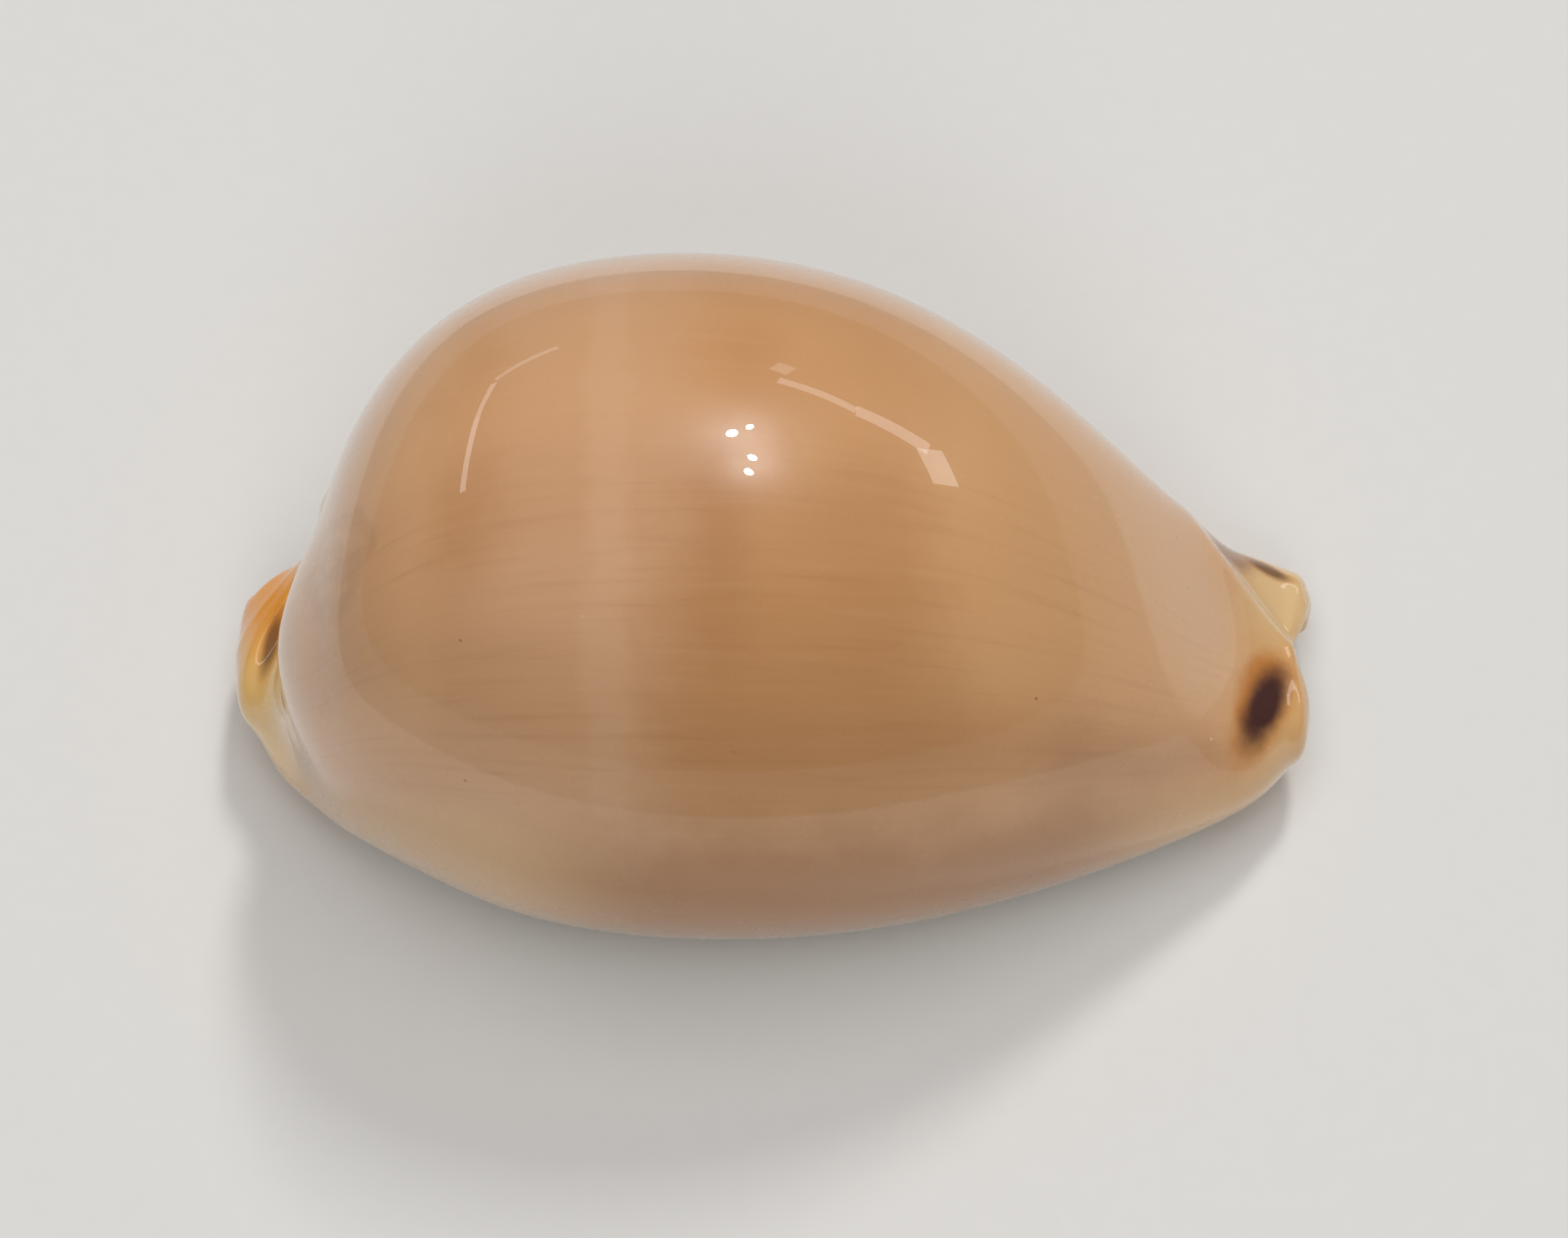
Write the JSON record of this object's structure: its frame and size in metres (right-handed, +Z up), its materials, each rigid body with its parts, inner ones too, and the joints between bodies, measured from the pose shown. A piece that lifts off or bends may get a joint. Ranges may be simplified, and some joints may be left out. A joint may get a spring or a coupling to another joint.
{
  "type": "cowrie shell",
  "caption": "Egg-shaped glossy sea shell, hollow, rolled in on itself so that a long narrow toothed slit runs the length of its flat underside, with a blunt lobed canal at each end.",
  "frame": {"origin": "centre of the bounding box in plan, on the surface the shell rests on", "axes": "+X runs along the shell to its narrow front end, +Y to the columella side, so the outer lip is on -Y, and +Z is up through the back"},
  "size_m": [0.045, 0.0274, 0.0231],
  "materials": {
    "enamel": "polished"
  },
  "bodies": {
    "root": {"shell": "enamel"}
  },
  "joints": []
}
